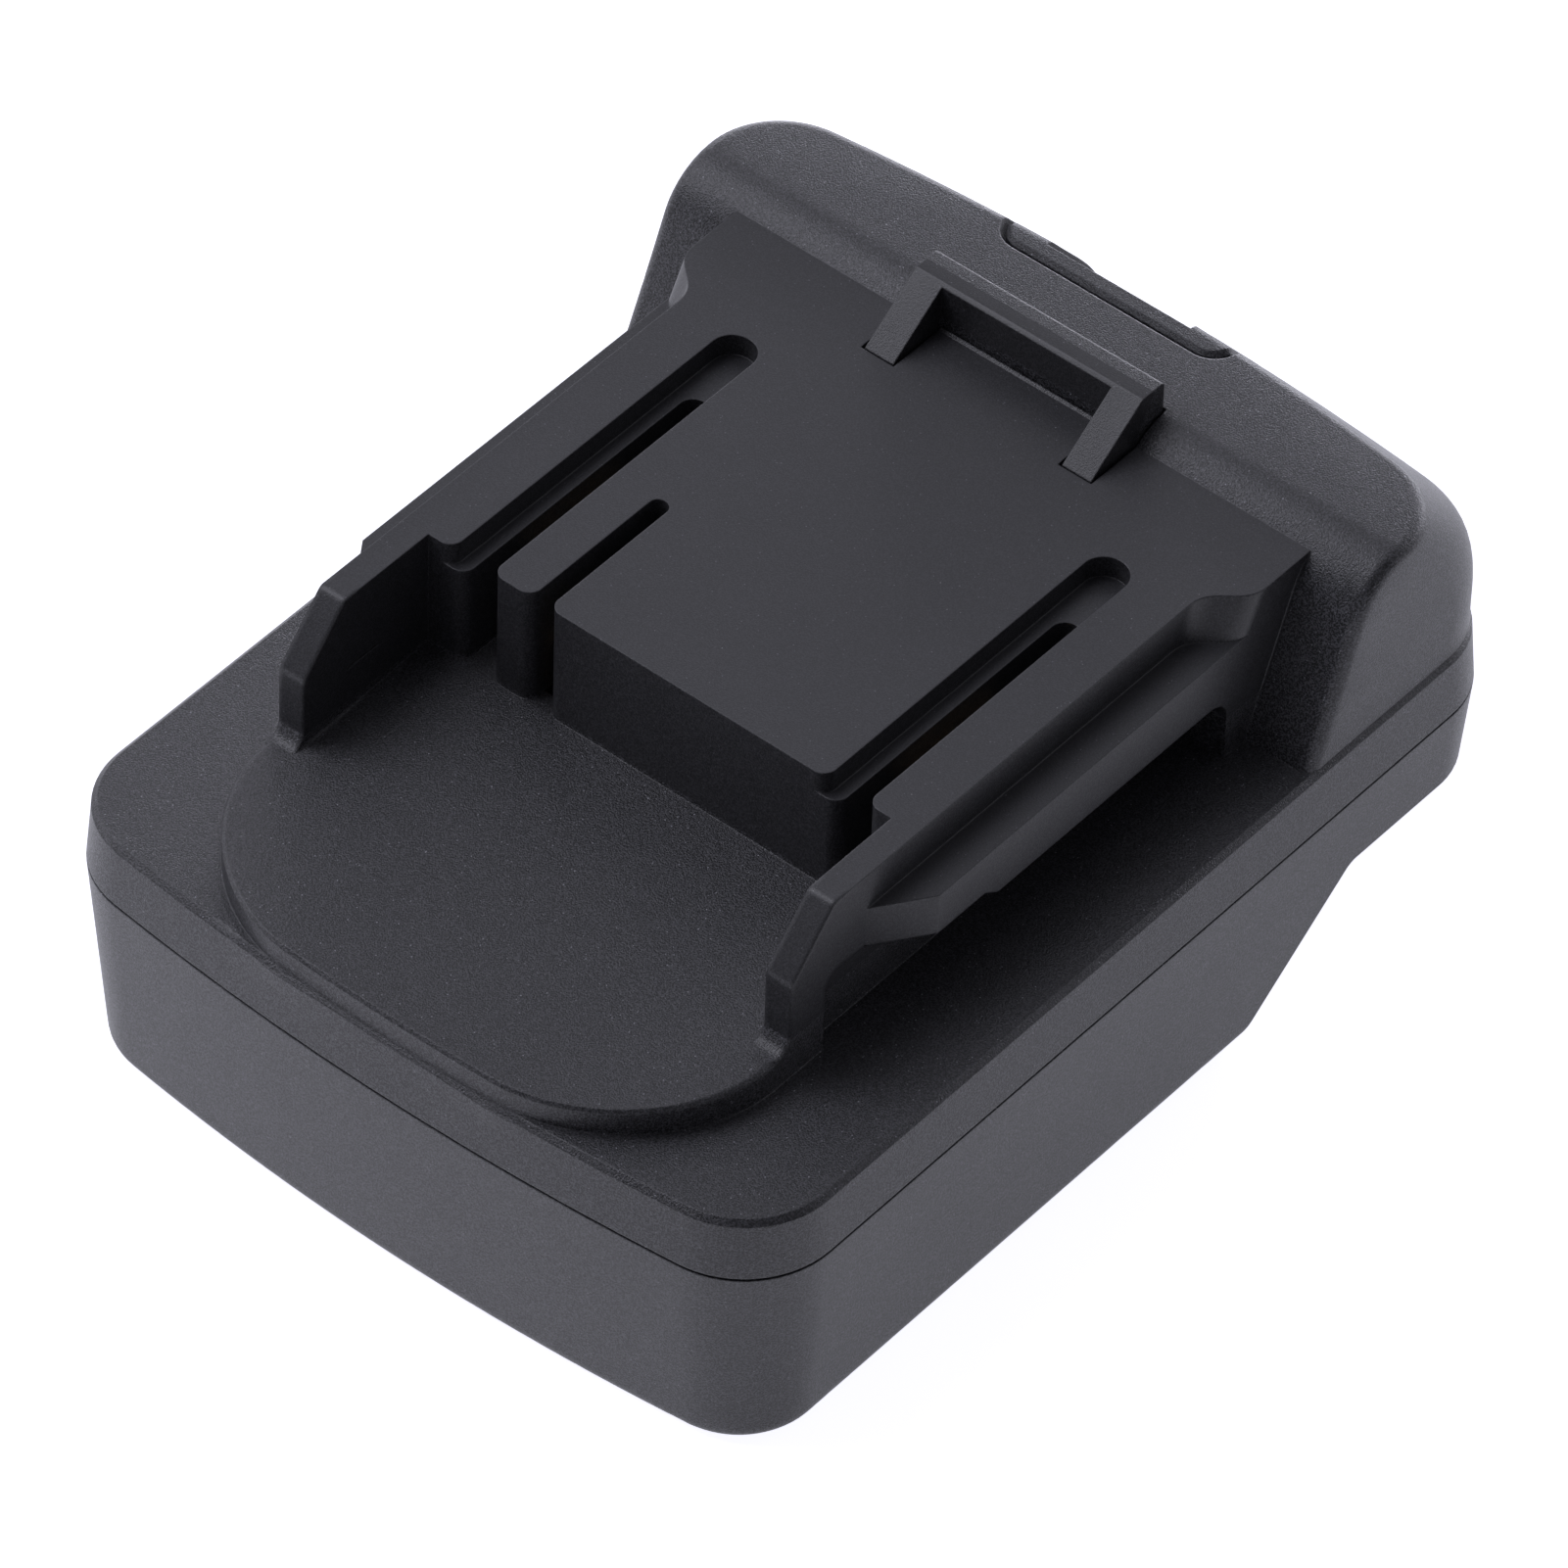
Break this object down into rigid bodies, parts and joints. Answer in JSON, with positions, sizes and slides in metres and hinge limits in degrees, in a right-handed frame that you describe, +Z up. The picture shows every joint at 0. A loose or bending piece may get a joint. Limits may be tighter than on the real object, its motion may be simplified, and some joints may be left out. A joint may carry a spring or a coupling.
{
  "type": "tool battery adapter",
  "caption": "Black slide-on adapter between a battery pack and a cordless tool, with rails, contact slots, a sprung latch hook and a release button.",
  "frame": {"origin": "bottom centre of the bounding box, on the surface that the adapter lies on", "axes": "+X across the width to the right seen from the front, +Y from the plate end to the release button, +Z up"},
  "size_m": [0.08, 0.107, 0.0504],
  "materials": {
    "housing_plastic": "matte black moulded plastic with a fine grain",
    "latch_plastic": "matte black moulded plastic, a little smoother",
    "insulator_plastic": "dark glass-filled plastic",
    "contact_metal": "bright copper alloy",
    "blade_metal": "tin-plated copper",
    "spring_steel": "drawn spring wire",
    "screw_steel": "zinc-plated steel",
    "lead_red": "soft red insulation",
    "lead_black": "soft black insulation",
    "lead_yellow": "soft yellow insulation"
  },
  "bodies": {
    "housing": {"upper_housing": "housing_plastic", "lower_housing": "housing_plastic", "latch_spring_left": "spring_steel", "latch_spring_right": "spring_steel", "contact_carrier": "insulator_plastic", "blade_block": "insulator_plastic", "tool_contact_positive": "contact_metal", "tool_contact_negative": "contact_metal", "tool_contact_signal": "contact_metal", "battery_blade_positive": "blade_metal", "battery_blade_negative": "blade_metal", "battery_blade_signal": "blade_metal", "lead_positive": "lead_red", "lead_negative": "lead_black", "lead_signal": "lead_yellow", "front_screws": "screw_steel", "rear_screws": "screw_steel"},
    "latch": {"release_latch": "latch_plastic"}
  },
  "joints": [
    {"name": "latch_slide", "type": "slide", "parent": "housing", "child": "latch", "axis": [0, 0, -1], "range_m": [0, 0.0052], "stiffness_N_per_m": 800, "springref_m": -0.006, "deforming": ["latch_spring_left", "latch_spring_right"]}
  ]
}
